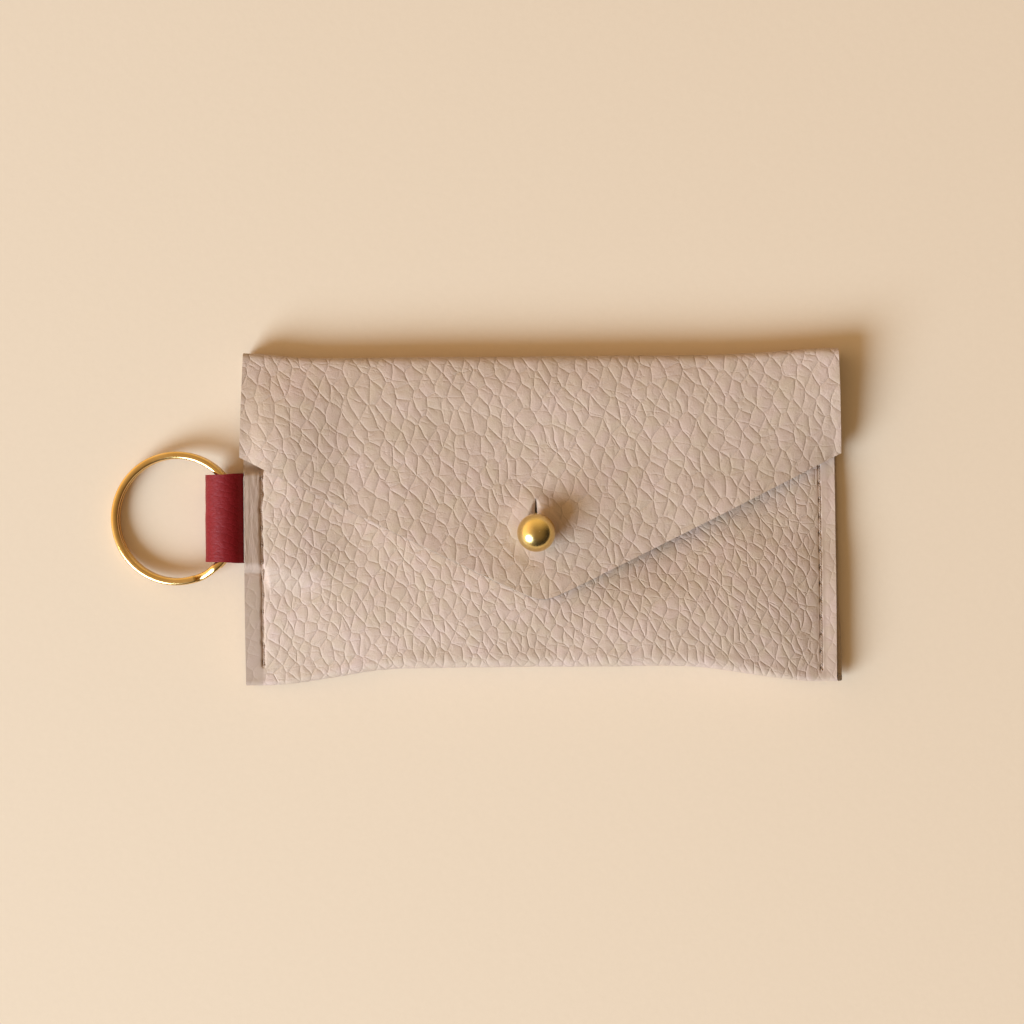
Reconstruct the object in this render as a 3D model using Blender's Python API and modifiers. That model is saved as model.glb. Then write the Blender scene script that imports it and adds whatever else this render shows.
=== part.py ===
"""Keyring card holder: a folded leather envelope with a ball stud, and a split ring in a leather tab.

Metres, +Z up. The holder lies on its back: X is its width, Y runs from the bottom fold to the top fold,
and the origin is the middle of the back panel's flat outer face.
"""

import math

import bmesh
import bpy

# Leather blank, folded once at the bottom and once at the top
BODY_WIDTH = 0.1100
BODY_HEIGHT = 0.0615
LEATHER = 0.0013
LAYER_GAP = 0.0003
FOLD_HEIGHT = 0.0062
SEAM_REST = 0.0005
TAB_SEAM_HEIGHT = 0.0042
TAB_RISE_FULL = 0.0115
TAB_RISE_END = 0.0420
FRONT_LEVEL = 0.0059
LEVEL_TOP = 0.0100
LEVEL_BOTTOM = -0.0083
MOUTH_DROP = 0.0015
FRONT_BULGE = 0.0080
BULGE_Y = -0.0210
BULGE_DROP = 0.0005
BACK_FLAT_HALF = 0.0300
BACK_FLAT_TOP = 0.0205
SHOULDER_START = 0.0500
BOTTOM_DRAW_IN = 0.0031
DRAW_IN_START = 0.0520
DRAW_IN_END = 0.0240
MOUTH_SETBACK = 0.0036
CREASE_GAP = 0.0004
SHOULDER_POWER_SHARE = 5.0

# Flap
FLAP_OVERHANG = 0.0006
FLAP_SIDE_END = 0.0114
FLAP_TIP = -0.0150
FLAP_TIP_ROUNDING = 0.0020
FLAP_LIE_START = 0.0195
FLAP_LIE_GAP = 0.0006

# Side seams, in lockstitch
SEAM_INSET = 0.0029
STITCH_PITCH = 0.0031
STITCH_HOLE_LENGTH = 0.0013
STITCH_HOLE_WIDTH = 0.0008
THREAD = 0.00035
THREAD_GAP = 0.0001
THREAD_LEG_SPACING = 0.0005
THREAD_MEET_GAP = 0.0003
SEAM_START_RIGHT = 0.0026
SEAM_START_LEFT = 0.0044
SEAM_END_MARGIN = 0.0020
THREAD_TAIL = 0.0008

# Tab
TAB_WIDTH = 0.0165
TAB_LEATHER = 0.0009
TAB_LOOP_INSIDE = 0.0062
TAB_REACH = 0.00725
TAB_TAIL = 0.0060
TAB_SPREAD_FADE = 0.0040
TAB_SPREAD_REACH = 0.0150
TAB_CLOSE_ANGLE_SHARE = 0.40

# Split ring
RING_OUTSIDE = 0.0248
RING_WIRE_WIDTH = 0.00165
RING_WIRE_HEIGHT = 0.0011
RING_TURN_GAP = 0.0002
RING_LOOP_CLEARANCE = 0.00025
RING_TILT = math.radians(7.9)
RING_STEP_ANGLE = math.radians(-60.5)
RING_STEP_SPAN = math.radians(20.0)
RING_END_GAP = 0.0003

# Ball stud and its screw
STUD_X = -0.0012
STUD_Y = -0.0028
BALL = 0.0070
NECK = 0.0042
FLANGE = 0.0074
FLANGE_HEIGHT = 0.0009
STUD_SEAT_GAP = 0.0001
BALL_LIFT = 0.0002
SCREW = 0.0025
SCREW_CLEARANCE = 0.0002
SCREW_LENGTH = 0.0042
SCREW_HEAD = 0.0075
SCREW_HEAD_HEIGHT = 0.0009
SCREW_SLOT = 0.0010
SCREW_SLOT_DEPTH = 0.0004
SCREW_BEVEL = 0.0002

# Buttonhole in the flap
EYE = 0.0048
EYELID_WIDTH = 0.0104
EYELID_HEIGHT = 0.0126
EYELID_OFFSET = 0.0007
EYELID_GAP = 0.0003
SLIT_LENGTH = 0.0064
SLIT_WIDTH = 0.0003

OVERRUN = 0.0020
ROUND_STEPS = 20
BEND_STEPS = 5
MERGE = 0.00001

HALF_WIDTH = BODY_WIDTH / 2
TOP_Y = BODY_HEIGHT / 2
BOTTOM_Y = -BODY_HEIGHT / 2
FOLD_RADIUS = FOLD_HEIGHT / 2
FOLD_Y = TOP_Y - FOLD_RADIUS
MOUTH_Y = FOLD_Y - MOUTH_SETBACK
SEAM_X = HALF_WIDTH - SEAM_INSET
TAB_SEAM_RISE = TAB_SEAM_HEIGHT - LAYER_GAP / 2 - LEATHER - SEAM_REST
SEAM_STACK = 2 * LEATHER + LAYER_GAP
TAB_HALF = TAB_WIDTH / 2
TAB_INNER_RADIUS = TAB_LOOP_INSIDE / 2
TAB_RADIUS = TAB_INNER_RADIUS + TAB_LEATHER / 2
TAB_OUTER_RADIUS = TAB_INNER_RADIUS + TAB_LEATHER
TAB_X = -HALF_WIDTH - TAB_REACH + TAB_OUTER_RADIUS
TAB_TAIL_LIFT = LAYER_GAP / 2 + TAB_LEATHER / 2
TAB_LIFT = TAB_LEATHER + LAYER_GAP
TAB_EDGE_HEIGHT = math.sqrt(max(0.0, TAB_OUTER_RADIUS**2 - (HALF_WIDTH + TAB_X) ** 2))
TAB_FLARE = max(0.0, TAB_EDGE_HEIGHT + LAYER_GAP - LAYER_GAP / 2 - TAB_LIFT)
RING_RADIUS = RING_OUTSIDE / 2
RING_OFFSET = RING_RADIUS - TAB_INNER_RADIUS + RING_LOOP_CLEARANCE
CREASE_SHARES = {"back": -0.25, "flap": 0.25}


def clear_scene():
    for thing in list(bpy.data.objects):
        bpy.data.objects.remove(thing, do_unlink=True)


def new_collection(name):
    group = bpy.data.collections.new(name)
    bpy.context.scene.collection.children.link(group)
    return group


def material(name, color, roughness, metallic):
    made = bpy.data.materials.new(name)
    made.use_nodes = True
    shader = made.node_tree.nodes["Principled BSDF"]
    shader.inputs["Base Color"].default_value = (*color, 1.0)
    shader.inputs["Roughness"].default_value = roughness
    shader.inputs["Metallic"].default_value = metallic
    return made


def add_object(name, data, group, surface=None):
    made = bpy.data.objects.new(name, data)
    group.objects.link(made)
    if surface:
        made.data.materials.append(surface)
    return made


def as_cutter(piece):
    piece.hide_render = True
    piece.display_type = "WIRE"
    return piece


def cut(piece, cutter):
    hole = piece.modifiers.new(cutter.name, "BOOLEAN")
    hole.operation = "DIFFERENCE"
    hole.solver = "EXACT"
    hole.object = cutter


def smooth(share):
    share = min(1.0, max(0.0, share))
    return share * share * (3.0 - 2.0 * share)


def between(first, last, steps):
    """The places from first to last, in equal steps."""
    return [first + (last - first) * i / steps for i in range(steps + 1)]


def on_arc(centre, radius, turn):
    """A point in the YZ or XZ plane, with turn as a share of a full turn from the first axis."""
    angle = turn * math.tau
    return centre[0] + radius * math.cos(angle), centre[1] + radius * math.sin(angle)


def sheet_from_rows(name, rows, thickness, offset, group, surface):
    """A solid sheet: a grid moved onto rows of points, and given its thickness by Solidify."""
    across, along = len(rows[0]) - 1, len(rows) - 1
    bm = bmesh.new()
    bmesh.ops.create_grid(bm, x_segments=across, y_segments=along, size=1.0)
    for vertex in bm.verts:
        i = round((vertex.co.x + 1.0) / 2.0 * across)
        j = round((vertex.co.y + 1.0) / 2.0 * along)
        vertex.co = rows[j][i]
    mesh = bpy.data.meshes.new(name)
    bm.to_mesh(mesh)
    bm.free()
    mesh.shade_smooth()
    made = add_object(name, mesh, group, surface)
    solid = made.modifiers.new("Thickness", "SOLIDIFY")
    solid.thickness = thickness
    solid.offset = offset
    return made


def turned(name, profile, group, surface, close_ring=False):
    """A profile of (radius, height) points, outer side from top to bottom, turned about Z."""
    mesh = bpy.data.meshes.new(name)
    edges = [(i, i + 1) for i in range(len(profile) - 1)]
    if close_ring:
        edges.append((len(profile) - 1, 0))
    mesh.from_pydata([(r, 0.0, z) for r, z in profile], edges, [])
    made = add_object(name, mesh, group, surface)
    screw = made.modifiers.new("Turn", "SCREW")
    screw.steps = ROUND_STEPS
    screw.render_steps = ROUND_STEPS
    screw.use_merge_vertices = True
    screw.merge_threshold = MERGE
    screw.use_smooth_shade = True
    return made


def tube(name, points, diameter, sides_resolution, group, surface):
    """A thread or wire of one POLY spline with filled ends."""
    curve = bpy.data.curves.new(name, "CURVE")
    curve.dimensions = "3D"
    curve.bevel_depth = diameter / 2
    curve.bevel_resolution = sides_resolution
    curve.use_fill_caps = True
    spline = curve.splines.new("POLY")
    spline.points.add(len(points) - 1)
    for point, place in zip(spline.points, points):
        point.co = (*place, 1.0)
    return add_object(name, curve, group, surface)


def seam_share(y):
    """How much of the seam's lift is left: all of it up the sides, none at the top fold."""
    return smooth((FOLD_Y - y) / (FOLD_Y - BACK_FLAT_TOP))


def seam_rise(x, y):
    """Height of the seam's back face above the table: room for its thread, and more beside the tab."""
    lifted = smooth((TAB_RISE_END - abs(y)) / (TAB_RISE_END - TAB_RISE_FULL)) if x < 0.0 else 0.0
    return (SEAM_REST + TAB_SEAM_RISE * lifted) * seam_share(y)


def beside_tab(y):
    return smooth((TAB_HALF + TAB_SPREAD_FADE - abs(y)) / TAB_SPREAD_FADE)


def tab_spread(x, y):
    """How far each panel stands off the seam plane, where the tab's tails lie between them."""
    inward = smooth((-x - HALF_WIDTH + TAB_TAIL + TAB_SPREAD_REACH) / TAB_SPREAD_REACH)
    flare = TAB_FLARE * max(0.0, (-x - SEAM_X) / SEAM_INSET)
    return beside_tab(y) * (inward * TAB_LIFT + flare)


def margin_x(x, y):
    """Where a place near the left edge comes to, once the flare over the tab has tilted the margin."""
    tuck = LEATHER * TAB_FLARE / math.hypot(TAB_FLARE, SEAM_INSET)
    return x + beside_tab(y) * tuck * max(0.0, (-x - SEAM_X) / SEAM_INSET)


def back_z(x, y):
    """Height of the back panel's outer face."""
    side = max(0.0, abs(x) - BACK_FLAT_HALF) / (SHOULDER_START - BACK_FLAT_HALF)
    return seam_rise(x, y) * min(1.0, side) ** 2 - tab_spread(x, y)


def seam_mid_z(x, y):
    return seam_rise(x, y) + LEATHER + LAYER_GAP / 2


def crown_z(y):
    """Height of the front panel's outer face along its middle: held down by the flap, and full below it."""
    above = max(0.0, y - LEVEL_TOP) / (MOUTH_Y - LEVEL_TOP)
    below = smooth((LEVEL_BOTTOM - y) / (LEVEL_BOTTOM - BULGE_Y))
    past = max(0.0, BULGE_Y - y) / (BULGE_Y - BOTTOM_Y)
    return FRONT_LEVEL - MOUTH_DROP * above**2 + (FRONT_BULGE - FRONT_LEVEL) * below - BULGE_DROP * past**2


def front_z(x, y):
    """Height of the front panel's outer face."""
    side = seam_rise(x, y) + SEAM_STACK
    fullness = 1.0 - min(1.0, abs(x) / SHOULDER_START) ** SHOULDER_POWER_SHARE
    return side + (crown_z(y) - side) * fullness + tab_spread(x, y)


def bottom_y(x):
    """The bottom fold's outer edge, drawn in where the holder is thick."""
    return BOTTOM_Y + BOTTOM_DRAW_IN * smooth((DRAW_IN_START - abs(x)) / (DRAW_IN_START - DRAW_IN_END))


def bottom_fold(x):
    """Centre and outer radius of the bottom fold at x."""
    radius = (front_z(x, bottom_y(x)) - back_z(x, bottom_y(x))) / 2
    return (bottom_y(x) + radius, back_z(x, bottom_y(x)) + radius), radius


def crease_turn(side):
    """The place of a crease on the top fold, as a share of a turn: half of each quarter bend."""
    return CREASE_SHARES[side] / 2


def crease_half_gap():
    return CREASE_GAP / 2 / FOLD_RADIUS / math.tau


def pocket_columns():
    """X places of the pocket's grid, close together at the seams and shoulders."""
    edge = between(SEAM_X - SEAM_INSET, HALF_WIDTH, 4)
    shoulder = between(BACK_FLAT_HALF, SEAM_X - SEAM_INSET, 4)[:-1]
    flat = between(0.0, BACK_FLAT_HALF, 2)[:-1]
    right = flat + shoulder + edge
    return [-x for x in reversed(right[1:])] + right


def panel_places(bottom, top):
    """Y places up a panel, from its fold to its top, with extra ones beside the tab."""
    inner = TAB_HALF
    outer = TAB_HALF + TAB_SPREAD_FADE
    low = between(bottom, -outer, 3)[:-1]
    low_fade = between(-outer, -inner, 2)[:-1]
    middle = between(-inner, inner, 4)[:-1]
    high_fade = between(inner, outer, 2)[:-1]
    return low + low_fade + middle + high_fade + between(outer, top, 4)


def make_pocket(group, surface):
    """Back panel, bottom fold and front panel, as one sheet."""
    columns = pocket_columns()
    sections = []
    for x in columns:
        centre, radius = bottom_fold(x)
        crease_end = crease_turn("back") - crease_half_gap()
        turns = between(crease_end, -0.25, BEND_STEPS)[:-1]
        bend = [on_arc((FOLD_Y, FOLD_RADIUS), FOLD_RADIUS, turn) for turn in turns]
        back = [(y, back_z(x, y)) for y in reversed(panel_places(centre[0], FOLD_Y))]
        fold = [on_arc(centre, radius, turn) for turn in between(-0.25, -0.75, 8)][1:-1]
        front = [(y, front_z(x, y)) for y in panel_places(centre[0], MOUTH_Y)]
        sections.append([(margin_x(x, y), y, z) for y, z in bend + back + fold + front])
    rows = [[section[j] for section in sections] for j in range(len(sections[0]))]
    return sheet_from_rows("leather_pocket", rows, LEATHER, -1.0, group, surface)


def make_top_fold(group, surface):
    """The strip between the two creases of the top fold, as wide as the blank."""
    ends = between(
        crease_turn("flap") - crease_half_gap(), crease_turn("back") + crease_half_gap(), 2 * BEND_STEPS
    )
    half = HALF_WIDTH + FLAP_OVERHANG / 2
    rows = []
    for turn in ends:
        y, z = on_arc((FOLD_Y, FOLD_RADIUS), FOLD_RADIUS, turn)
        rows.append([(x, y, z) for x in between(-half, half, 4)])
    return sheet_from_rows("top_fold", rows, LEATHER, -1.0, group, surface)


def flap_edge(x):
    """The flap's free edge: two straight runs to a rounded tip."""
    half = HALF_WIDTH + FLAP_OVERHANG
    reach = math.hypot(x, FLAP_TIP_ROUNDING) - FLAP_TIP_ROUNDING
    full = math.hypot(half, FLAP_TIP_ROUNDING) - FLAP_TIP_ROUNDING
    return FLAP_TIP + (FLAP_SIDE_END - FLAP_TIP) * reach / full


def flap_z(x, y):
    """Height of the flap's outer face: level with the top fold, then lying on the front panel."""
    lying = front_z(x, y) + FLAP_LIE_GAP + LEATHER
    lift = smooth((y - FLAP_LIE_START) / (FOLD_Y - FLAP_LIE_START))
    return lift * FOLD_HEIGHT + (1.0 - lift) * lying


def make_flap(group, surface):
    """The flap with its upper bend, before its buttonhole is cut."""
    half = HALF_WIDTH + FLAP_OVERHANG
    right = between(0.0, 2 * FLAP_TIP_ROUNDING, 2)[:-1] + between(2 * FLAP_TIP_ROUNDING, BACK_FLAT_HALF, 3)[:-1]
    right += between(BACK_FLAT_HALF, SEAM_X - SEAM_INSET, 3)[:-1] + between(SEAM_X - SEAM_INSET, half, 4)
    columns = [-x for x in reversed(right[1:])] + right
    sections = []
    for x in columns:
        crease_end = crease_turn("flap") + crease_half_gap()
        turns = between(crease_end, 0.25, BEND_STEPS)[:-1]
        bend = [on_arc((FOLD_Y, FOLD_RADIUS), FOLD_RADIUS, turn) for turn in turns]
        lying = [(y, flap_z(x, y)) for y in between(FOLD_Y, flap_edge(x), 12)]
        sections.append([(x, y, z) for y, z in reversed(bend + lying)])
    rows = [[section[j] for section in sections] for j in range(len(sections[0]))]
    return sheet_from_rows("flap", rows, LEATHER, -1.0, group, surface)


def oval_cutter(name, width, height, bottom, top, place, group):
    bm = bmesh.new()
    bmesh.ops.create_cone(
        bm,
        cap_ends=True,
        segments=ROUND_STEPS,
        radius1=width / 2,
        radius2=width / 2,
        depth=top - bottom,
    )
    for vertex in bm.verts:
        vertex.co.y *= height / width
        vertex.co.z += (top + bottom) / 2
    mesh = bpy.data.meshes.new(name)
    bm.to_mesh(mesh)
    bm.free()
    made = as_cutter(add_object(name, mesh, group))
    made.location = (*place, 0.0)
    return made


def box_cutter(name, low, high, group):
    bm = bmesh.new()
    bmesh.ops.create_cube(bm, size=1.0)
    for vertex in bm.verts:
        for axis in range(3):
            vertex.co[axis] = low[axis] if vertex.co[axis] < 0.0 else high[axis]
    mesh = bpy.data.meshes.new(name)
    bm.to_mesh(mesh)
    bm.free()
    return as_cutter(add_object(name, mesh, group))


def flange_top():
    return front_z(STUD_X, STUD_Y) + STUD_SEAT_GAP + FLANGE_HEIGHT


def eyelid_top():
    """Upper face of the flap where it grips the neck, lifted over the flange."""
    return flange_top() + LAYER_GAP + LEATHER


def ball_z():
    """The ball's centre, as low as the buttonhole's lips allow."""
    lower_lip = EYE / 2 * EYELID_HEIGHT / EYELID_WIDTH - EYELID_OFFSET
    nearest = max(NECK / 2, min(EYE / 2, lower_lip))
    return eyelid_top() + BALL_LIFT + math.sqrt((BALL / 2) ** 2 - nearest**2)


def make_buttonhole(flap, group, cutters, surface):
    """The zone of the flap round the neck, which stretches over the ball, and the hole that it fills."""
    middle = (STUD_X, STUD_Y + EYELID_OFFSET)
    widening = 2 * EYELID_GAP
    window = oval_cutter(
        "cut_flap_window",
        EYELID_WIDTH + widening,
        EYELID_HEIGHT + widening,
        crown_z(STUD_Y) - OVERRUN,
        FRONT_BULGE + 2 * OVERRUN,
        middle,
        cutters,
    )
    cut(flap, window)
    rim = EYELID_WIDTH / 2
    shelf = (FLANGE / 2 + LAYER_GAP + rim) / 2
    rim_top = flap_z(STUD_X, STUD_Y)
    profile = [
        (EYE / 2, eyelid_top()),
        (FLANGE / 2 + LAYER_GAP, eyelid_top()),
        (shelf, (eyelid_top() + rim_top) / 2),
        (rim, rim_top),
        (rim, rim_top - LEATHER),
        (shelf, (eyelid_top() + rim_top) / 2 - LEATHER),
        (FLANGE / 2 + LAYER_GAP, eyelid_top() - LEATHER),
        (EYE / 2, eyelid_top() - LEATHER),
    ]
    lid = turned("flap_buttonhole", profile, group, surface, close_ring=True)
    lid.location = (*middle, 0.0)
    bake_turned(lid)
    for vertex in lid.data.vertices:
        outward = (math.hypot(vertex.co.x, vertex.co.y) - shelf) / (rim - shelf)
        vertex.co.y *= EYELID_HEIGHT / EYELID_WIDTH
        level = flap_z(middle[0] + vertex.co.x, middle[1] + vertex.co.y)
        vertex.co.z += max(0.0, outward) * (level - rim_top)
    slit_end = STUD_Y + SLIT_LENGTH
    slit = box_cutter(
        "cut_slit",
        (STUD_X - SLIT_WIDTH / 2, STUD_Y, eyelid_top() - LEATHER - OVERRUN),
        (STUD_X + SLIT_WIDTH / 2, slit_end, eyelid_top() + OVERRUN),
        cutters,
    )
    cut(lid, slit)
    return lid


def bake_turned(piece):
    """Applies the turning, so that the piece's own points can be moved."""
    depsgraph = bpy.context.evaluated_depsgraph_get()
    mesh = bpy.data.meshes.new_from_object(piece.evaluated_get(depsgraph))
    piece.modifiers.clear()
    piece.data = mesh


def tab_path():
    """Middle line of the tab's leather in the XZ plane, from its upper tail's end round to the lower one's."""
    close = TAB_CLOSE_ANGLE_SHARE / 4
    leave_x, leave_z = on_arc((0.0, 0.0), TAB_RADIUS, close)
    run = (leave_z - TAB_TAIL_LIFT) / math.cos(close * math.tau)
    corner_x = TAB_X + leave_x + run * math.sin(close * math.tau)
    upper = [(x, TAB_TAIL_LIFT) for x in between(-HALF_WIDTH + TAB_TAIL, corner_x, 3)]
    loop = [on_arc((TAB_X, 0.0), TAB_RADIUS, turn) for turn in between(close, 1.0 - close, 16)]
    lower = [(x, -z) for x, z in reversed(upper)]
    return [(x, TAB_SEAM_HEIGHT + z) for x, z in upper + loop + lower]


def make_tab(group, surface):
    rows = [[(x, y, z) for x, z in tab_path()] for y in between(-TAB_HALF, TAB_HALF, 2)]
    return sheet_from_rows("key_tab", rows, TAB_LEATHER, 0.0, group, surface)


def seam_holes(side):
    """Y places of a seam's needle holes, from the bottom fold up to the pocket's mouth."""
    start = BOTTOM_Y + (SEAM_START_RIGHT if side > 0 else SEAM_START_LEFT)
    count = int((MOUTH_Y - SEAM_END_MARGIN - start) / STITCH_PITCH)
    return [start + STITCH_PITCH * i for i in range(count + 1)]


def make_hole_cutter(name, side, group):
    """One slot for each stitch of a seam."""
    bm = bmesh.new()
    for y in seam_holes(side):
        made = bmesh.ops.create_cone(
            bm,
            cap_ends=True,
            segments=6,
            radius1=STITCH_HOLE_WIDTH / 2,
            radius2=STITCH_HOLE_WIDTH / 2,
            depth=FRONT_BULGE + 2 * OVERRUN,
        )
        for vertex in made["verts"]:
            vertex.co.x += side * SEAM_X
            vertex.co.y = y + vertex.co.y * STITCH_HOLE_LENGTH / STITCH_HOLE_WIDTH
            vertex.co.z += FRONT_BULGE / 2
    mesh = bpy.data.meshes.new(name)
    bm.to_mesh(mesh)
    bm.free()
    return as_cutter(add_object(name, mesh, group))


def thread_points(side, face):
    """A thread along one face of a seam, dipping into each needle hole to the middle of the leather."""
    x = side * SEAM_X
    outer = front_z if face > 0 else back_z
    stand_off = THREAD_GAP + THREAD / 2
    meet = THREAD_MEET_GAP / 2 + THREAD / 2
    half_leg = THREAD_LEG_SPACING / 2

    def surface_point(y):
        return (x, y, outer(x, y) + face * stand_off)

    places = seam_holes(side)
    points = [surface_point(places[0] - half_leg - THREAD_TAIL)]
    for y, following in zip(places, places[1:] + [None]):
        low = seam_mid_z(x, y) + face * meet
        points.append(surface_point(y - half_leg))
        points.append((x, y - half_leg, low))
        points.append((x, y + half_leg, low))
        points.append(surface_point(y + half_leg))
        if following is not None:
            points.append(surface_point((y + following) / 2))
    points.append(surface_point(places[-1] + half_leg + THREAD_TAIL))
    return points


def ring_profile(group):
    """The wire's rounded section: wide across the ring, flat along its axis."""
    curve = bpy.data.curves.new("ring_wire_section", "CURVE")
    curve.dimensions = "2D"
    spline = curve.splines.new("POLY")
    sides = 10
    spline.points.add(sides - 1)
    for i, point in enumerate(spline.points):
        angle = -math.tau * (i + 0.5) / sides
        across = math.copysign(abs(math.cos(angle)) ** 0.75, math.cos(angle))
        up = math.copysign(abs(math.sin(angle)) ** 0.75, math.sin(angle))
        point.co = (across * RING_WIRE_WIDTH / 2, up * RING_WIRE_HEIGHT / 2, 0.0, 1.0)
    spline.use_cyclic_u = True
    return as_cutter(add_object("ring_wire_section", curve, group))


def ring_points():
    """The wire's middle line: a full turn, a step down through the ring's thickness, and a full turn below."""
    radius = RING_RADIUS - RING_WIRE_WIDTH / 2
    half_step = RING_STEP_SPAN / 2
    margin = half_step + RING_END_GAP / radius
    level = (RING_WIRE_HEIGHT + RING_TURN_GAP) / 2
    turns = between(margin, math.tau - half_step, 30)
    turns += between(math.tau - half_step, math.tau + half_step, 8)[1:]
    turns += between(math.tau + half_step, 2 * math.tau - margin, 30)[1:]
    points = []
    for turn in turns:
        drop = smooth((turn - math.tau + half_step) / RING_STEP_SPAN)
        angle = RING_STEP_ANGLE - turn
        x = -RING_OFFSET + radius * math.cos(angle)
        points.append((x, radius * math.sin(angle), level * (1.0 - 2.0 * drop)))
    return points


def make_ring(group, cutters, surface):
    ring = tube("split_ring", ring_points(), RING_WIRE_HEIGHT, 0, group, surface)
    ring.data.bevel_mode = "OBJECT"
    ring.data.bevel_object = ring_profile(cutters)
    ring.data.twist_mode = "Z_UP"
    ring.location = (TAB_X, 0.0, TAB_SEAM_HEIGHT)
    ring.rotation_euler = (0.0, -RING_TILT, 0.0)
    return ring


def make_stud(group, cutters, surface, screw_surface, pocket):
    """Ball, neck and flange in one turned post, and the slotted screw that holds it from inside the pocket."""
    seat = front_z(STUD_X, STUD_Y) + STUD_SEAT_GAP
    inside = front_z(STUD_X, STUD_Y) - LEATHER
    head_top = inside - 2 * STUD_SEAT_GAP
    hole_radius = SCREW / 2 + SCREW_CLEARANCE
    screw_end = head_top + SCREW_LENGTH
    ball = BALL / 2
    neck = NECK / 2
    neck_turn = math.asin(neck / ball) / math.tau
    sphere = [on_arc((0.0, ball_z()), ball, turn) for turn in between(0.25, neck_turn - 0.25, 9)]
    profile = [(0.0, sphere[0][1])] + sphere[1:]
    profile += [(neck, flange_top()), (FLANGE / 2, flange_top()), (FLANGE / 2, seat), (hole_radius, seat)]
    profile += [(hole_radius, screw_end + SCREW_CLEARANCE), (0.0, screw_end + SCREW_CLEARANCE)]
    post = turned("stud_post", profile, group, surface)
    post.location = (STUD_X, STUD_Y, 0.0)
    head = SCREW_HEAD / 2
    bottom = head_top - SCREW_HEAD_HEIGHT
    screw_profile = [
        (0.0, screw_end),
        (SCREW / 2, screw_end),
        (SCREW / 2, head_top),
        (head, head_top),
        (head, bottom + SCREW_BEVEL),
        (head - SCREW_BEVEL, bottom),
        (0.0, bottom),
    ]
    screw = turned("stud_screw", screw_profile, group, screw_surface)
    screw.location = (STUD_X, STUD_Y, 0.0)
    slot = box_cutter(
        "cut_screw_slot",
        (STUD_X - head - OVERRUN, STUD_Y - SCREW_SLOT / 2, bottom - OVERRUN),
        (STUD_X + head + OVERRUN, STUD_Y + SCREW_SLOT / 2, bottom + SCREW_SLOT_DEPTH),
        cutters,
    )
    cut(screw, slot)
    hole = oval_cutter(
        "cut_stud_hole",
        2 * hole_radius,
        2 * hole_radius,
        inside - OVERRUN / 2,
        inside + LEATHER + OVERRUN / 2,
        (STUD_X, STUD_Y),
        cutters,
    )
    cut(pocket, hole)
    return post, screw


def make_seams(group, cutters, surface, pocket, tab):
    for side, word in ((-1, "left"), (1, "right")):
        holes = make_hole_cutter(f"cut_{word}_stitch_holes", side, cutters)
        cut(pocket, holes)
        if side < 0:
            cut(tab, holes)
        for face, thread in ((1, "needle"), (-1, "bobbin")):
            tube(f"{word}_{thread}_thread", thread_points(side, face), THREAD, 0, group, surface)


def main():
    clear_scene()
    group = new_collection("keyring_card_holder")
    cutters = new_collection("cutters")
    leather = material("taupe_leather", (0.60, 0.44, 0.35), 0.55, 0.0)
    red_leather = material("burgundy_leather", (0.22, 0.012, 0.022), 0.42, 0.0)
    brass = material("brushed_brass", (0.72, 0.50, 0.20), 0.28, 1.0)
    ring_brass = material("bright_brass", (0.80, 0.55, 0.22), 0.18, 1.0)
    thread = material("taupe_thread", (0.52, 0.38, 0.29), 0.75, 0.0)
    pocket = make_pocket(group, leather)
    make_top_fold(group, leather)
    flap = make_flap(group, leather)
    make_buttonhole(flap, group, cutters, leather)
    tab = make_tab(group, red_leather)
    make_stud(group, cutters, brass, brass, pocket)
    make_seams(group, cutters, thread, pocket, tab)
    make_ring(group, cutters, ring_brass)


main()
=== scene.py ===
"""Keyring card holder in pebbled taupe leather: its looks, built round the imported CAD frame.

Shapes are worked out in millimetres, in the CAD's own frame, and go into Blender in metres.
"""

import math

import bpy
import numpy as np
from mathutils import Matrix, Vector
from mathutils.kdtree import KDTree


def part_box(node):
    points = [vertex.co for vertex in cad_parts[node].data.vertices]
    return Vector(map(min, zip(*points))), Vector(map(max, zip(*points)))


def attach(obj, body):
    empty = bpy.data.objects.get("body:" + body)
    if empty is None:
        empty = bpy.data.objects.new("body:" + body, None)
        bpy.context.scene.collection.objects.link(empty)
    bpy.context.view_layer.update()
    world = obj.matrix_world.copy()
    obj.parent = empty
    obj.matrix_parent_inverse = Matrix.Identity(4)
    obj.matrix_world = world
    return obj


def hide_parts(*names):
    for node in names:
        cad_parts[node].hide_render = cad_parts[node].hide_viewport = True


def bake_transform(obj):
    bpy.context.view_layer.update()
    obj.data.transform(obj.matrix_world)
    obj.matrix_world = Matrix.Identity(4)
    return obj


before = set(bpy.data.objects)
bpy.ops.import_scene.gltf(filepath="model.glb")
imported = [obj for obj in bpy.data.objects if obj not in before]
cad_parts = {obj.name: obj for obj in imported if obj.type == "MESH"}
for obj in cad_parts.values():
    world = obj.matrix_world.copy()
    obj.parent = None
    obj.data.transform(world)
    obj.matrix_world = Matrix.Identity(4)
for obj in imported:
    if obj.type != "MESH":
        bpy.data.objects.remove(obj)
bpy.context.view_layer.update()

MM = 0.001

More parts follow.
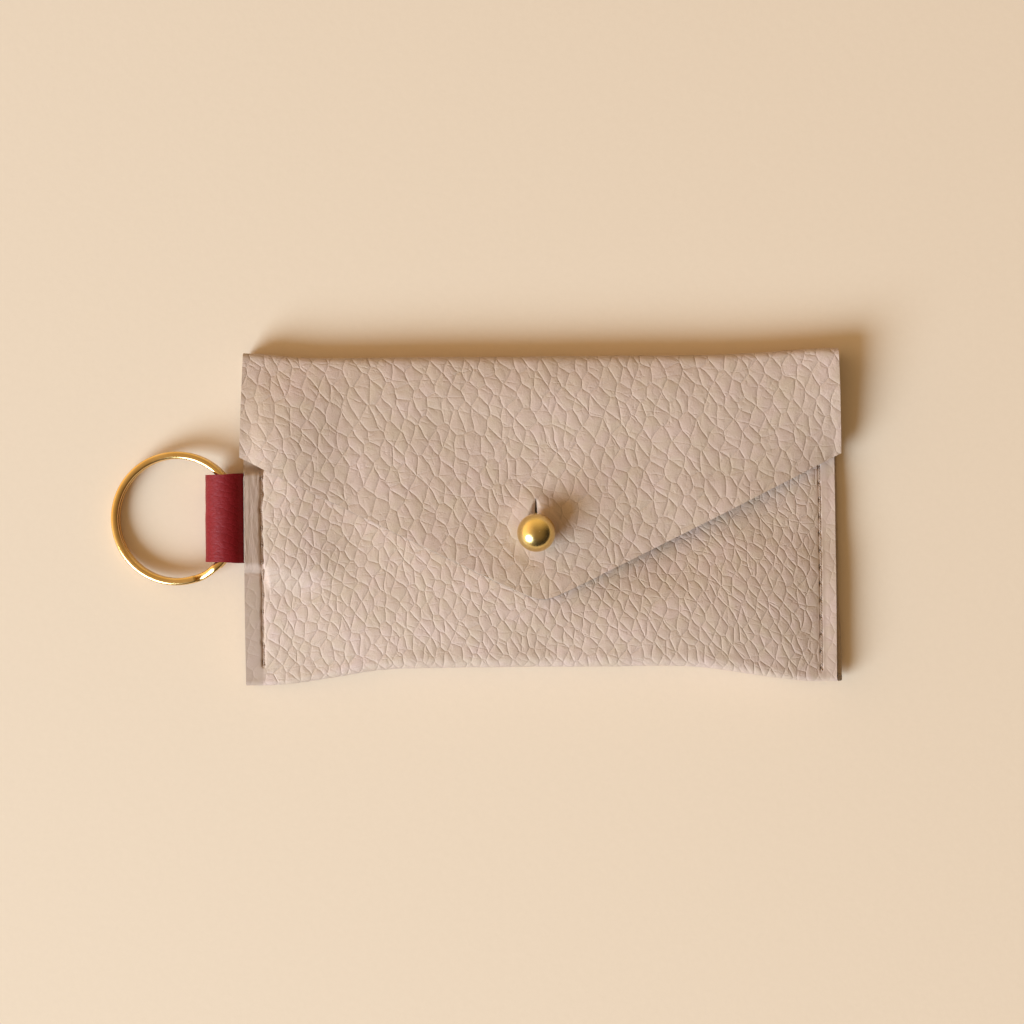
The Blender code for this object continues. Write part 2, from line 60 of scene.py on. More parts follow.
# The leather blank: its outer sizes are the CAD's, its fullness follows the photo
HALF_WIDTH = 55.0
TOP_Y = 30.75
BOTTOM_Y = -30.75
LEATHER = 1.3
LAYER_GAP = 0.3
FOLD_HEIGHT = 6.2
FOLD_RADIUS = FOLD_HEIGHT / 2
FOLD_Y = TOP_Y - FOLD_RADIUS
MOUTH_Y = FOLD_Y - 3.6
SEAM_REST = 0.5
TAB_SEAM_HEIGHT = 4.2
TAB_RISE_FULL = 11.5
TAB_RISE_END = 42.0
SEAM_INSET = 2.9
SEAM_X = HALF_WIDTH - SEAM_INSET
TAB_SEAM_RISE = TAB_SEAM_HEIGHT - LAYER_GAP / 2 - LEATHER - SEAM_REST
SEAM_STACK = 2 * LEATHER + LAYER_GAP
FRONT_LEVEL = 5.9
LEVEL_TOP = 10.0
MOUTH_DROP = 1.5
FRONT_BULGE = 8.0
BULGE_Y = -13.0
BULGE_DROP = 1.6
BACK_FLAT_HALF = 30.0
BACK_FLAT_TOP = 20.5
SHOULDERS = {-1: (50.0, 5.0), 1: (54.0, 2.6)}
PANEL_FALLS = ((-1, 10.0, 42.0, 1.5), (1, 12.0, 41.0, 2.7))
TOP_DRAW_IN = 1.05
BOTTOM_DRAW_IN = 3.1
DRAW_IN_START = 52.0
DRAW_IN_END = 24.0

FLAP_OVERHANG = 0.6
FLAP_SIDE_END = 11.4
FLAP_TIP = -15.0
FLAP_TIP_ROUNDING = 2.0
FLAP_DROOP_START = 21.0
FLAP_RUN_OUT = 28.0
FLAP_REST = LEATHER + 0.25
FOLD_SQUARE = 3.4
FOLD_SQUARE_TOP = 5.5
BOTTOM_SQUARE = 4.0

PANEL_GRAIN = 1.22

STITCH_PITCH = 3.1
SEAM_START = {1: 2.6, -1: 4.4}
SEAM_END_MARGIN = 2.0
THREAD_TWIST = 0.95
THREAD_PLY_OFFSET = 0.085
THREAD_PLY_RADIUS = 0.10

TAB_HALF = 8.25
TAB_LEATHER = 0.9
TAB_INNER_RADIUS = 3.1
TAB_RADIUS = TAB_INNER_RADIUS + TAB_LEATHER / 2
TAB_OUTER_RADIUS = TAB_INNER_RADIUS + TAB_LEATHER
TAB_REACH = 7.25
TAB_Y = 0.25
TAB_X = -HALF_WIDTH - TAB_REACH + TAB_OUTER_RADIUS
TAB_TAIL = 6.0
TAB_SPREAD_REACH = 15.0
TAB_LIFT = TAB_LEATHER + LAYER_GAP + 0.2
TAB_FLARE = 0.75

RING_OUTSIDE = 24.8
RING_WIRE_WIDTH = 1.38
RING_WIRE_HEIGHT = 1.1
RING_TURN_GAP = 0.2
RING_OFFSET = RING_OUTSIDE / 2 - TAB_INNER_RADIUS + 0.25
RING_SHIFT = 0.3
RING_TILT = math.radians(7.9)
RING_STEP_ANGLE = math.radians(-60.5)
RING_STEP_SPAN = math.radians(20.0)

STUD_X = -1.2
STUD_Y = -2.8
BALL_RADIUS = 3.5
EYE = 4.8
SLIT_LENGTH = 6.4
EYELID_TOP = 8.45

CAMERA = (-5.6, 1.0, 490.0)
CAMERA_ROLL = math.radians(-0.45)
CAMERA_LENS = 92.4
KEY_AZIMUTH = 218.0
KEY_ELEVATION = 31.0

COARSE = 4
RIM_STEPS = 3
BACK_STEPS = 112
FRONT_STEPS = 232
FLAP_STEPS = 184


def smooth(share):
    share = np.clip(share, 0.0, 1.0)
    return share * share * (3.0 - 2.0 * share)


def scatter(i, j, seed):
    """A fixed random number from 0 to 1 for each pair of whole numbers."""
    n = (i * 374761393 + j * 668265263 + seed * 974634777) & 0xFFFFFFFF
    n = ((n ^ (n >> 13)) * 1274126177) & 0xFFFFFFFF
    n = ((n ^ (n >> 16)) * 1103515245) & 0xFFFFFFFF
    return ((n ^ (n >> 15)) & 0xFFFFFF) / 0x1000000


def noise(x, y, size, seed):
    """Smooth noise from -1 to 1, with lumps of about that size."""
    a, b = np.asarray(x) / size, np.asarray(y) / size
    i, j = np.floor(a).astype(np.int64), np.floor(b).astype(np.int64)
    u, v = smooth(a - i), smooth(b - j)
    low = scatter(i, j, seed) * (1 - u) + scatter(i + 1, j, seed) * u
    high = scatter(i, j + 1, seed) * (1 - u) + scatter(i + 1, j + 1, seed) * u
    return 2.0 * (low * (1 - v) + high * v) - 1.0


def swell(x, s):
    """The soft lumps of the leather, in millimetres. Its pebbled grain is in the material."""
    return 0.05 * noise(x, s, 4.6, 11) + 0.07 * noise(x, s, 9.0, 12)


def seam_share(y):
    return smooth((FOLD_Y - y) / (FOLD_Y - BACK_FLAT_TOP))


def seam_rise(x, y):
    """How far the seam's back face stands off the table, before it comes down to the top fold."""
    lifted = smooth((TAB_RISE_END - np.abs(y)) / (TAB_RISE_END - TAB_RISE_FULL))
    right = 0.65 * smooth((-y - 2.0) / 10.0) - 0.45 * smooth((y - 1.0) / 8.0)
    return SEAM_REST + np.where(x < 0.0, TAB_SEAM_RISE * lifted, right)


def tab_spread(x, y):
    """How far each panel stands off the seam plane over the tab's tails: sharp at the margin, soft inside."""
    fade = 1.5 + 4.5 * smooth((x + SEAM_X + 0.3) / 1.8)
    beside = smooth((TAB_HALF + fade - np.abs(y)) / fade)
    inward = smooth((-x - HALF_WIDTH + TAB_TAIL + TAB_SPREAD_REACH) / TAB_SPREAD_REACH)
    flare = TAB_FLARE * np.maximum(0.0, (-x - SEAM_X) / SEAM_INSET)
    return beside * (inward * TAB_LIFT + flare)


def margin_x(x, y):
    """Tilts the left margin over the tab."""
    tuck = LEATHER * TAB_FLARE / math.hypot(TAB_FLARE, SEAM_INSET)
    beside = smooth((TAB_HALF + 1.5 - np.abs(y)) / 1.5)
    return x + beside * tuck * np.maximum(0.0, (-x - SEAM_X) / SEAM_INSET)


def back_z(x, y):
    side = np.maximum(0.0, np.abs(x) - BACK_FLAT_HALF) / (50.0 - BACK_FLAT_HALF)
    return seam_rise(x, y) * seam_share(y) * np.minimum(1.0, side) ** 2 - tab_spread(x, y)


def flap_edge(x):
    half = HALF_WIDTH + FLAP_OVERHANG
    reach = np.hypot(x, FLAP_TIP_ROUNDING) - FLAP_TIP_ROUNDING
    full = math.hypot(half, FLAP_TIP_ROUNDING) - FLAP_TIP_ROUNDING
    return FLAP_TIP + (FLAP_SIDE_END - FLAP_TIP) * reach / full


def fullness(x):
    """From 1 in the middle of the held-down panel to 0 at its seams."""
    shares = []
    for side, (end, power) in SHOULDERS.items():
        shares.append(1.0 - np.minimum(1.0, np.maximum(0.0, side * x) / end) ** power)
    return np.minimum(*shares)


def held_down(x, y):
    """The front panel where the flap holds it down."""
    side = seam_rise(x, y) + SEAM_STACK
    return side + (FRONT_LEVEL - side) * fullness(x) + tab_spread(x, y)


def filled(x, y):
    """The full front panel below the flap, before the flap's right edge presses it in."""
    side = seam_rise(x, y) + SEAM_STACK
    left, right = [
        1.0 - np.clip((side * x - start) / run, 0.0, 1.0) ** power for side, start, run, power in PANEL_FALLS
    ]
    past = np.maximum(0.0, BULGE_Y - y) / (BULGE_Y - BOTTOM_Y)
    top = FRONT_BULGE - BULGE_DROP * past**1.9
    return side + (top - side) * np.where(x < 0.0, left, right) + tab_spread(x, y)


def on_panel_share(x):
    """Where the flap's edge lies on the full panel: all of the left run and the tip."""
    return smooth((25.0 - x) / 29.0)


def flap_level(x, y):
    """Height of the flap's outer face where the panel doesn't push it up. It passes softly over the tab's tails."""
    side = seam_rise(x, y) + SEAM_STACK
    inward = smooth((-x - HALF_WIDTH + TAB_TAIL + TAB_SPREAD_REACH) / TAB_SPREAD_REACH)
    over_tab = TAB_LIFT * inward * smooth((36.0 - y) / 24.0) * (1.0 - 0.5 * smooth((-x - 50.5) / 4.5))
    rest = FLAP_REST - 0.2 * smooth((x - 35.0) / 18.0)
    flat = np.where(x < 0.0, fullness(x), 1.0 - np.clip(x / 54.0, 0.0, 1.0) ** 3.5)
    level = side + (FRONT_LEVEL - side) * flat + over_tab + rest
    short = 6.4 - level
    recovered = np.clip((y - flap_edge(x)) / (23.0 - flap_edge(x)), 0.0, 1.0)
    return level + (short + np.sqrt(short**2 + 0.25)) / 2 * recovered * smooth((x - 10.0) / 25.0)


def flap_lift(x, y):
    """How far the flap stands above its level, over the full panel below its left run and its tip."""
    edge = flap_edge(x)
    rise = on_panel_share(x) * (filled(x, edge) + 1.45 - held_down(x, edge) - FLAP_REST)
    return rise, (1.0 - np.clip((y - edge) / FLAP_RUN_OUT, 0.0, 1.0)) ** 1.6


def from_stud(x, y):
    return np.hypot(x - STUD_X, (y - STUD_Y - 0.7) / 1.21)


def front_face(x, y):
    """Height of the front panel's outer face."""
    edge = flap_edge(x)
    _, share = flap_lift(x, y)
    press = (1.0 - on_panel_share(x)) * (filled(x, edge) + 2.0 - held_down(x, edge) - FLAP_REST)
    press = press + 0.8 * smooth((x - 12.0) / 16.0) * smooth((SEAM_X - x) / 12.0)
    into = np.clip((y + 24.0) / (edge + 24.0), 0.0, 1.0)
    open_part = filled(x, y) - press * into**2
    at_edge = filled(x, edge) - press
    mouth = MOUTH_DROP * (np.maximum(0.0, y - LEVEL_TOP) / (MOUTH_Y - LEVEL_TOP)) ** 2
    side_drop = (1.0 - seam_share(y)) * seam_rise(x, y) * (1.0 - fullness(x))
    covered = held_down(x, y) - mouth * fullness(x) - side_drop + (at_edge - held_down(x, edge)) * share
    z = np.where(y < edge, open_part, covered)
    seat = 1.0 - smooth((from_stud(x, y) - 4.0) / 3.0)
    return z + (FRONT_LEVEL - 0.02 - z) * seat * (y > edge)


def fold_top(x):
    """Height of the flap where it turns into the top fold."""
    return 6.2 + 0.15 * smooth((x - 15.0) / 38.0) - 0.7 * smooth((-x - 32.0) / 22.0)


def flap_face(x, y):
    """Height of the flap's outer face, up to the line where it turns down into the top fold."""
    rise, share = flap_lift(x, y)
    z = flap_level(x, y) + rise * share
    droop = np.clip((y - FLAP_DROOP_START) / (TOP_Y - FLAP_DROOP_START), 0.0, 1.0) ** 2
    z = z * (1.0 - droop) + fold_top(x) * droop
    lid = 1.0 - smooth((from_stud(x, y) - 3.8) / 2.8)
    return z + (EYELID_TOP - z) * lid


def draw_in(x, y):
    """How far the top fold's middle is drawn in from the straight line between its corners."""
    along = smooth((57.0 + x) / 16.0) * smooth((53.0 - x) / 20.0)
    return TOP_DRAW_IN * along * np.clip((y - 6.0) / (TOP_Y - 6.0), 0.0, 1.0)


def square_quarter(power, steps):
    """A quarter of a square-shouldered curve in equal steps: from (0, 1) to (1, 0)."""
    turn = np.linspace(0.0, math.pi / 2, 2000)
    a, b = np.sin(turn) ** (2 / power), np.cos(turn) ** (2 / power)
    length = np.concatenate([[0.0], np.cumsum(np.hypot(np.diff(a), np.diff(b)))])
    at = np.linspace(0.0, length[-1], steps + 1)
    return np.interp(at, length, a), np.interp(at, length, b)


def bottom_y(x):
    return BOTTOM_Y + BOTTOM_DRAW_IN * smooth((DRAW_IN_START - np.abs(x)) / (DRAW_IN_START - DRAW_IN_END))


def seam_holes(side):
    start = BOTTOM_Y + SEAM_START[side]
    count = int((MOUTH_Y - SEAM_END_MARGIN - start) / STITCH_PITCH)
    return [start + STITCH_PITCH * i for i in range(count + 1)]


def seam_relief(x, y, on_panel):
    """The pinched groove along both seams and the needle holes in it."""
    height = np.zeros(x.shape)
    for side, depth, hole_depth in ((-1, 0.42, 0.25), (1, 0.12, 0.75)):
        holes = seam_holes(side)
        wander = 0.16 * noise(y, 0 * y + side, 2.3, 43) + 0.10 * noise(y, 0 * y + side, 0.9, 44)
        across = x - side * (SEAM_X + wander * (1.0 if side < 0 else 0.4))
        along = smooth((y - holes[0] + 1.2) / 0.8) * smooth((holes[-1] + 1.2 - y) / 0.8)
        groove = depth * np.exp(-((across / 0.24) ** 2)) + 0.10 * np.exp(-((across / 0.8) ** 2))
        near = np.round((y - holes[0]) / STITCH_PITCH)
        near = np.clip(near, 0, len(holes) - 1) * STITCH_PITCH + holes[0]
        hole = np.exp(-((across / 0.22) ** 4) - ((y - near) / 0.42) ** 4)
        height = height - (groove * along + hole_depth * hole) * on_panel
    return height


def cut_edge_shift(x, y, under):
    """How far the right margin's cut edge leans out, from the front panel's face to the back panel's."""
    beyond = np.maximum(0.0, x - SEAM_X) / SEAM_INSET
    flare = 0.40 + 0.60 * smooth((-y - 14.0) / 14.0) + 0.08 * noise(y, 0 * y, 4.0, 45)
    return beyond * (flare * under - 0.30 * (1.0 - under))


def seam_shift(x):
    """How far the sewing has drawn the seams in, and with the right one its margin."""
    left = 0.45 * smooth((-x - 42.0) / 10.0) * (1.0 - np.clip((-x - SEAM_X) / SEAM_INSET, 0.0, 1.0))
    right = 0.70 * smooth((x - 42.0) / 10.0) - 0.25 * np.clip((x - SEAM_X) / SEAM_INSET, 0.0, 1.0)
    return left - right


def spaced(low, high, spacing):
    """Places from low to high with the local spacing that the function gives, in a whole number of coarse steps."""
    t = np.linspace(low, high, 6001)
    share = np.concatenate([[0.0], np.cumsum(np.diff(t) / spacing((t[1:] + t[:-1]) / 2))])
    count = COARSE * math.ceil(share[-1] / COARSE)
    return np.interp(np.linspace(0, share[-1], count + 1), share, t)


def column_spacing(x):
    near_seam = np.abs(np.abs(x) - SEAM_X)
    return np.where(near_seam < 0.7, 0.08, np.where(np.abs(x) > HALF_WIDTH - 0.8, 0.15, 0.24))


def soften(grid, rounds):
    """Evens out a grid of values down its rows, with the first and last row left as they are."""
    for _ in range(rounds):
        grid[1:-1] = (grid[:-2] + 2 * grid[1:-1] + grid[2:]) / 4
    return grid


def unit(vectors):
    return vectors / np.linalg.norm(vectors, axis=-1, keepdims=True)


def facing(grid):
    """Outward unit normals of a grid whose rows follow the blank and whose columns run along X."""
    across = np.gradient(grid, axis=1)
    along = np.gradient(grid, axis=0)
    return unit(np.cross(across, along))


def run_length(grid):
    """How far each place is from its column's first row, along the sheet."""
    steps = np.linalg.norm(np.diff(grid, axis=0), axis=2)
    return np.concatenate([np.zeros((1, grid.shape[1])), np.cumsum(steps, axis=0)])


def ring_of(rows, columns):
    """Row and column of each place round a grid's edge, in order."""
    across, along = np.arange(columns - 1), np.arange(rows - 1)
    r = np.concatenate([0 * across, along, 0 * across + rows - 1, rows - 1 - along])
    c = np.concatenate([across, 0 * along + columns - 1, columns - 1 - across, 0 * along])
    return r.astype(int), c.astype(int)


def closed_sheet(name, outer, inner, place, finish_and_painted_light, surfaces, rim_wear=0.04):
    """A leather sheet of one closed mesh: a dense outer face, a cut edge, and a coarser flesh side."""
    rows, columns = outer.shape[:2]
    er, ec = ring_of(rows, columns)
    edge_count = len(er)
    number = np.arange(rows * columns).reshape(rows, columns)
    points = [outer.reshape(-1, 3)]
    places = [place.reshape(-1, 3)]
    finishes = [finish_and_painted_light.reshape(-1, 3)]
    rings = [number[er, ec]]
    start = rows * columns
    top, bottom = outer[er, ec], inner[er, ec]
    for step in range(1, RIM_STEPS + 1):
        share = step / RIM_STEPS
        level = top * (1 - share) + bottom * share
        if step < RIM_STEPS:
            run = np.arange(edge_count) * 0.27
            rough = rim_wear * noise(run, np.full(edge_count, 7.0 * step), 0.8, 41)
            away = top - np.roll(top, 1, axis=0)
            out = unit(np.cross(away + 1e-9, unit(top - bottom)))
            level = level + out * rough[:, None]
        points.append(level)
        deep = place[er, ec].copy()
        deep[:, 2] = share * LEATHER
        places.append(deep)
        finishes.append(np.zeros((edge_count, 3)))
        rings.append(np.arange(start, start + edge_count))
        start += edge_count
    coarse = -np.ones((rows, columns), int)
    coarse[er, ec] = rings[-1]
    inside = [np.arange(COARSE, count - 1, COARSE) for count in (rows, columns)]
    inside_r, inside_c = np.meshgrid(*inside, indexing="ij")
    coarse[inside_r, inside_c] = np.arange(start, start + inside_r.size).reshape(inside_r.shape)
    points.append(inner[inside_r, inside_c].reshape(-1, 3))
    places.append(place[inside_r, inside_c].reshape(-1, 3))
    finishes.append(np.zeros((inside_r.size, 3)))
    a, b = number[:-1, :-1].ravel(), number[:-1, 1:].ravel()
    c, d = number[1:, 1:].ravel(), number[1:, :-1].ravel()
    faces = np.stack([a, b, c, d], axis=1).tolist()
    slots = [0] * len(faces)
    for first, second in zip(rings[:-1], rings[1:]):
        following, after = np.roll(first, -1), np.roll(second, -1)
        faces += np.stack([first, second, after, following], axis=1).tolist()
        slots += [1] * edge_count
    for r in range(0, rows - 1, COARSE):
        for c in range(0, columns - 1, COARSE):
            right = c + COARSE
            up = r + COARSE
            corners = [coarse[r, c]]
            if c == 0:
                corners += [coarse[k, c] for k in range(r + 1, up)]
            corners.append(coarse[up, c])
            if up == rows - 1:
                corners += [coarse[up, k] for k in range(c + 1, right)]
            corners.append(coarse[up, right])
            if right == columns - 1:
                corners += [coarse[k, right] for k in range(up - 1, r, -1)]
            corners.append(coarse[r, right])
            if r == 0:
                corners += [coarse[r, k] for k in range(right - 1, c, -1)]
            faces.append([int(k) for k in corners])
            slots.append(2)
    made = mesh_object(name, np.concatenate(points), faces, surfaces, slots)
    mesh = made.data
    add_values(mesh, "place", np.concatenate(places))
    add_values(mesh, "finish_and_painted_light", np.concatenate(finishes))
    edge_points = np.zeros((len(mesh.edges), 2), np.int32).ravel()
    mesh.edges.foreach_get("vertices", edge_points)
    edge_points = edge_points.reshape(-1, 2)
    sharp = np.zeros(len(mesh.edges), bool)
    for ring in (rings[0], rings[-1]):
        on = np.zeros(len(mesh.vertices), bool)
        on[ring] = True
        sharp |= on[edge_points[:, 0]] & on[edge_points[:, 1]]
    mark = mesh.attributes.get("sharp_edge") or mesh.attributes.new("sharp_edge", "BOOLEAN", "EDGE")
    mark.data.foreach_set("value", sharp)
    return made


def add_values(mesh, name, values):
    if values.ndim == 2:
        made = mesh.attributes.new(name, "FLOAT_VECTOR", "POINT")
        made.data.foreach_set("vector", values.astype(np.float32).ravel())
    else:
        made = mesh.attributes.new(name, "FLOAT", "POINT")
        made.data.foreach_set("value", values.astype(np.float32).ravel())


def mesh_object(name, points, faces, surfaces, slots=None):
    """A smooth mesh from points in millimetres."""
    mesh = bpy.data.meshes.new(name)
    mesh.from_pydata((np.asarray(points) * MM).tolist(), [], faces)
    for surface in surfaces:
        mesh.materials.append(surface)
    if slots is not None:
        mesh.polygons.foreach_set("material_index", np.array(slots, np.int32))
    mesh.shade_smooth()
    mesh.update()
    made = bpy.data.objects.new(name, mesh)
    bpy.context.scene.collection.objects.link(made)
    return made


def pocket_grid():
    """The blank from the top fold's outermost line, down the back, round the bottom and up the front."""
    x = spaced(-HALF_WIDTH, HALF_WIDTH, column_spacing)
    wide = np.ones(x.shape)
    rows = []

    def add_row(y, z, on):
        rows.append((y * wide, z * wide, on))

    out, up = square_quarter(FOLD_SQUARE, 16)
    for a, b in zip(out[::-1][:-1], up[::-1][:-1]):
        add_row(FOLD_Y + FOLD_RADIUS * a, fold_top(x) / 2 * (1.0 - b), 0.0)
    low = bottom_y(x)
    radius = np.full(x.shape, 2.0)
    for _ in range(12):
        radius = (front_face(x, low + radius) - back_z(x, low + radius)) / 2
    start_y = low + radius
    for t in np.linspace(0, 1, BACK_STEPS + 1)[:-1]:
        y = FOLD_Y + t * (start_y - FOLD_Y)
        add_row(y, back_z(x, y), 1.0)
    out, up = square_quarter(BOTTOM_SQUARE, 22)
    middle = back_z(x, start_y) + radius
    for a, b in list(zip(out, up))[:-1]:
        add_row(start_y - radius * a, middle - radius * b, 0.0)
    for a, b in list(zip(out, up))[:0:-1]:
        add_row(start_y - radius * a, middle + radius * b, 0.0)
    for t in np.linspace(0, 1, FRONT_STEPS + 1):
        y = start_y + t * (MOUTH_Y - start_y)
        add_row(y, front_face(x, y), 1.0)
    while (len(rows) - 1) % COARSE:
        first, second = rows[20], rows[21]
        rows.insert(21, ((first[0] + second[0]) / 2, (first[1] + second[1]) / 2, first[2]))
    y = soften(np.array([row[0] for row in rows]), 3)
    z = soften(np.array([row[1] for row in rows]), 3)
    on_panel = np.array([row[2] for row in rows])[:, None]
    under = 1.0 - smooth((np.arange(len(rows)) - BACK_STEPS - 24) / 30.0)[:, None]
    wide_x = margin_x(x[None, :], y) + cut_edge_shift(x[None, :], y, under) + seam_shift(x)[None, :]
    cut_x = np.broadcast_to(x[None, :], y.shape)
    return np.stack([wide_x, y - draw_in(x, y), z], axis=2), cut_x, on_panel, under


def flap_grid():
    """The flap from its free edge up to the top fold's outermost line."""
    half = HALF_WIDTH + FLAP_OVERHANG
    x = spaced(-half, half, lambda t: np.where(np.abs(t) > half - 0.8, 0.14, 0.22))
    edge = flap_edge(x)
    rows_y, rows_z = [], []
    for t in np.linspace(0, 1, FLAP_STEPS + 1)[:-1]:
        y = edge + t * (FOLD_Y - edge)
        rows_y.append(y)
        rows_z.append(flap_face(x, y))
    out, up = square_quarter(FOLD_SQUARE_TOP, 24)
    for a, b in zip(out, up):
        y = np.full(x.shape, FOLD_Y + FOLD_RADIUS * a)
        middle = fold_top(x) / 2
        rows_y.append(y)
        rows_z.append(middle + (flap_face(x, y) - middle) * b)
    y, z = np.array(rows_y), soften(np.array(rows_z), 3)
    squeeze = 1.0 - (FLAP_OVERHANG / half) * np.clip((y - FLAP_SIDE_END) / (TOP_Y - FLAP_SIDE_END), 0.0, 1.0)
    wide_x = x[None, :] * squeeze - 0.25 * smooth((x - 30.0) / 25.0)[None, :]
    return np.stack([wide_x, y - draw_in(x, y), z], axis=2)


def make_pocket(surfaces):
    base, x, on_panel, under = pocket_grid()
    out = facing(base)
    y, s = base[..., 1], run_length(base)
    seam = np.abs(np.abs(x) - SEAM_X)
    margin = smooth((np.abs(x) - SEAM_X) / 0.5)
    strip = margin * (x < 0) * smooth((TAB_HALF + 1.2 - np.abs(y + 0.2)) / 1.0)
    calm = 1.0 - 0.45 * np.exp(-((seam / 1.0) ** 2)) - margin * np.where(x < 0, 0.6, 0.55)
    calm = np.clip(calm - 0.6 * strip, 0.12, 1.0)
    height = swell(x, s) * calm + seam_relief(x, y, on_panel)
    pinch = np.exp(-(((y + 9.9 + 0.25 * noise(x, y, 1.1, 46)) / 0.22) ** 2)) * margin * (x < 0)
    height = height - 0.16 * pinch + 0.05 * strip * noise(x * 2.2, y * 0.35, 0.9, 47)
    outer = base + out * height[..., None]
    inner = base - out * LEATHER
    inner[..., 0] += 0.22 * np.maximum(0.0, x - SEAM_X) / SEAM_INSET * (1.0 - 2.0 * under)
    place = np.stack([x, s, np.zeros(x.shape)], axis=2) * PANEL_GRAIN
    # The third value marks the left margin, whose colour the material darkens: painted shade.
    finish_and_painted_light = np.stack([calm, strip, margin * (x < 0) * (1.0 - strip)], axis=2)
    return closed_sheet("pocket_leather", outer, inner, place, finish_and_painted_light, surfaces)


def slit_relief(x, y):
    """The slit's lips, pressed apart by the ball, and the small wrinkles beside it."""
    apex = STUD_Y + SLIT_LENGTH
    half = np.maximum(0.02, 0.46 * (apex - y))
    lips = np.clip(1.0 - np.abs(x - STUD_X) / half, 0.0, 1.0) * smooth((apex - y) / 1.2) * (y > STUD_Y)
    away = np.hypot(x - STUD_X, y - STUD_Y)
    corner = smooth((x - STUD_X + 0.2) / 1.4) * smooth((y - STUD_Y) / 2.0)
    wrinkle = np.cos((away - 4.0) / 1.05 * math.tau) * np.exp(-(((away - 4.6) / 1.1) ** 2)) * corner
    return 0.07 * wrinkle - 0.8 * lips


def make_flap(surfaces):
    base = flap_grid()
    out = facing(base)
    x, s = base[..., 0], run_length(base)
    s = s - s[-1:, :] + 400.0
    y = base[..., 1]
    outer = base + out * (swell(x, s) + slit_relief(x, y))[..., None]
    inner = base - out * LEATHER
    place = np.stack([x, s, np.zeros(x.shape)], axis=2)
    around = from_stud(x, y)
    finish_and_painted_light = np.stack([np.clip(1.0 - 0.75 * np.exp(-((around / 4.6) ** 4)), 0, 1), 0 * x, 0 * x], axis=2)
    made = closed_sheet("flap_leather", outer, inner, place, finish_and_painted_light, surfaces)
    cut_buttonhole(made)
    return made


def cut_buttonhole(flap):
    """Cuts the eye round the stud's neck and the slit above it, which opens towards the ball."""
    outline = []
    slit_half = 0.30
    turn_from = math.asin(slit_half / (EYE / 2))
    steps = 40
    for k in range(steps + 1):
        angle = math.pi / 2 + turn_from + (math.tau - 2 * turn_from) * k / steps
        outline.append((STUD_X + EYE / 2 * math.cos(angle), STUD_Y + EYE / 2 * math.sin(angle)))
    outline.append((STUD_X + 0.08, STUD_Y + SLIT_LENGTH - 0.4))
    outline.append((STUD_X, STUD_Y + SLIT_LENGTH))
    outline.append((STUD_X - 0.08, STUD_Y + SLIT_LENGTH - 0.4))
    count = len(outline)
    points = [(px, py, 6.2) for px, py in outline] + [(px, py, 13.0) for px, py in outline]
    faces = [list(range(count - 1, -1, -1)), list(range(count, 2 * count))]
    faces += [[k, (k + 1) % count, (k + 1) % count + count, k + count] for k in range(count)]
    cutter = mesh_object("buttonhole_cutter", points, faces, [flap.data.materials[1]])
    cutter.data.shade_flat()
    hole = flap.modifiers.new("hole", "BOOLEAN")
    hole.operation, hole.solver, hole.object = "DIFFERENCE", "EXACT", cutter
    hole.material_mode = "TRANSFER"
    bpy.context.view_layer.update()
    graph = bpy.context.evaluated_depsgraph_get()
    cut = bpy.data.meshes.new_from_object(flap.evaluated_get(graph))
    flap.modifiers.clear()
    carry_values(flap.data, cut, ("place", "finish_and_painted_light"))
    flap.data = cut
    bpy.data.objects.remove(cutter)


def carry_values(source, target, names):
    """Gives each point of the cut mesh the values of the nearest point of the mesh before the cut."""
    lookup = KDTree(len(source.vertices))
    for vertex in source.vertices:
        lookup.insert(vertex.co, vertex.index)
    lookup.balance()
    nearest = [lookup.find(vertex.co)[1] for vertex in target.vertices]
    for name in names:
        values = np.zeros(3 * len(source.vertices), np.float32)
        source.attributes[name].data.foreach_get("vector", values)
        if name in target.attributes:
            target.attributes.remove(target.attributes[name])
        add_values(target, name, values.reshape(-1, 3)[nearest])


def tube_rows(path, sections):
    """Joins sections of the same count, one at each point of the path, with closed ends."""
    count = sections.shape[1]
    points = sections.reshape(-1, 3)
    faces = []
    for r in range(len(path) - 1):
        for k in range(count):
            n = (k + 1) % count
            faces.append([r * count + k, r * count + n, (r + 1) * count + n, (r + 1) * count + k])
    faces.append(list(range(count - 1, -1, -1)))
    last = (len(path) - 1) * count
    faces.append([last + k for k in range(count)])
    return points, faces


def swept(path, radius, sides=6):
    """A tube of that radius along a path of points; the radius may change along it."""
    path = np.asarray(path, float)
    along = unit(np.gradient(path, axis=0))
    guide = np.array([1.0, 0.0, 0.0]) if abs(along[0][0]) < 0.8 else np.array([0.0, 1.0, 0.0])
    side = unit(np.cross(along, guide))
    up = np.cross(side, along)
    turn = np.arange(sides) / sides * math.tau
    radius = np.broadcast_to(radius, len(path))
    ring = side[:, None, :] * np.cos(turn)[None, :, None] + up[:, None, :] * np.sin(turn)[None, :, None]
    return tube_rows(path, path[:, None, :] + ring * radius[:, None, None])


def merged(parts):
    points, faces, start = [], [], 0
    for some, more in parts:
        points.append(some)
        faces += [[k + start for k in face] for face in more]
        start += len(some)
    return np.concatenate(points), faces


